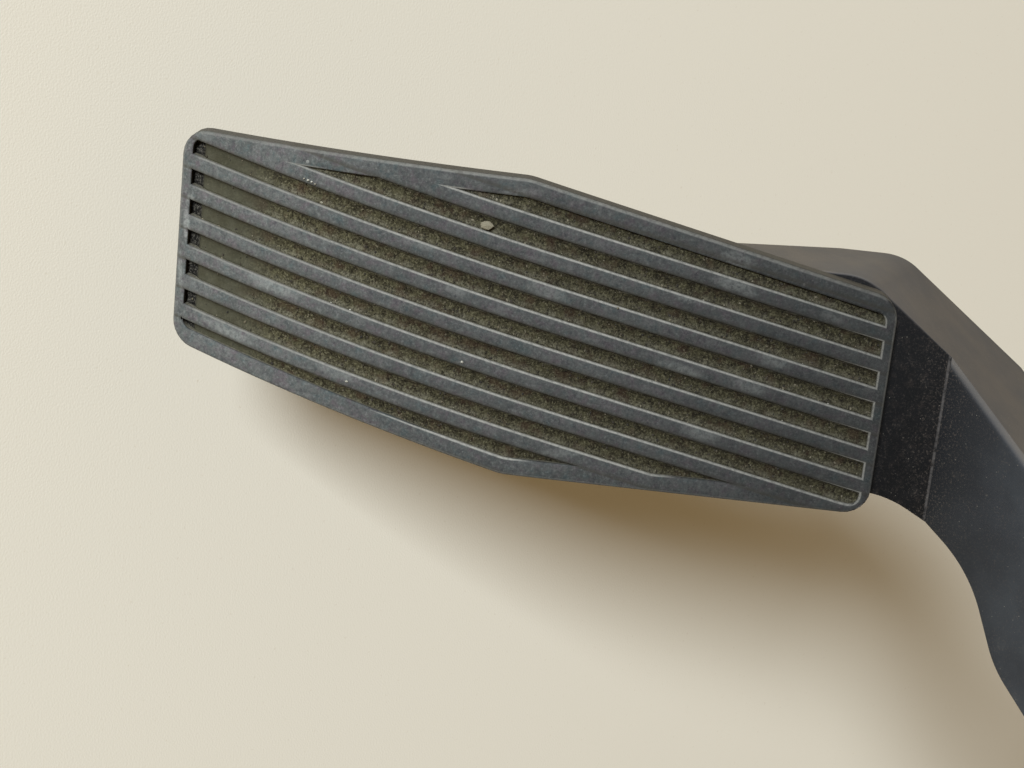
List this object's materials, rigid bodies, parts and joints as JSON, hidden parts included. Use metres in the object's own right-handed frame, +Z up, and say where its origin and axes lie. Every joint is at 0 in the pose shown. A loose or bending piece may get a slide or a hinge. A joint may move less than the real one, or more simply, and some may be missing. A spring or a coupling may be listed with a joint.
{
  "type": "accelerator pedal",
  "caption": "Hanging accelerator pedal: ribbed rubber tread on a cranked, ribbed plastic arm, sprung in a bolted housing with a contactless position sensor and plug socket.",
  "frame": {"origin": "centre of the bolt circle on the mounting face, level with the pivot axis and straight behind it", "axes": "+X to the driver's right, along the pivot; +Y away from the driver, out of the mounting face; +Z up, as installed"},
  "size_m": [0.1367, 0.1628, 0.2925],
  "materials": {
    "housing_plastic": "fine moulded grain, dusty",
    "arm_plastic": "fine moulded grain, dusty, worn edges",
    "tread_rubber": "matt rubber, scuffed and dirty in its grooves",
    "zinc_steel": "zinc plated",
    "shaft_steel": "ground",
    "spring_steel": "oiled spring wire",
    "bush_bronze": "sintered bronze",
    "stop_rubber": "matt",
    "seal_rubber": "soft silicone",
    "board": "lacquered circuit board",
    "chip_plastic": "moulded chips",
    "contact_brass": "plated contacts",
    "disc_plastic": "natural low-friction plastic",
    "carrier_plastic": "natural nylon",
    "magnet": "plated magnet"
  },
  "bodies": {
    "mount_body": {"housing": "housing_plastic", "mount_sleeves": "zinc_steel", "front_cover": "housing_plastic", "cover_screws": "zinc_steel", "bush_left": "bush_bronze", "bush_right": "bush_bronze", "shaft_cap": "housing_plastic", "idle_stop_pad": "stop_rubber", "full_stop_pad": "stop_rubber", "return_spring_outer": "spring_steel", "return_spring_inner": "spring_steel", "sensor_cover": "housing_plastic", "sensor_seal": "seal_rubber", "sensor_board": "board", "hall_chips": "chip_plastic", "contact_pins": "contact_brass", "sensor_screws": "zinc_steel"},
    "pedal_body": {"pedal_arm": "arm_plastic", "pedal_pad": "tread_rubber", "pivot_shaft": "shaft_steel", "shaft_clip": "spring_steel", "friction_disc_left": "disc_plastic", "friction_disc_right": "disc_plastic", "magnet_carrier": "carrier_plastic", "sensor_magnet": "magnet"}
  },
  "joints": [
    {"name": "pedal_pivot", "type": "hinge", "parent": "mount_body", "child": "pedal_body", "pos_m": [0, -0.05, 0], "axis": [1, 0, 0], "range_deg": [0, 15], "stiffness_Nm_per_rad": 14, "springref_deg": -16.04, "deforming": ["return_spring_outer", "return_spring_inner"]}
  ]
}
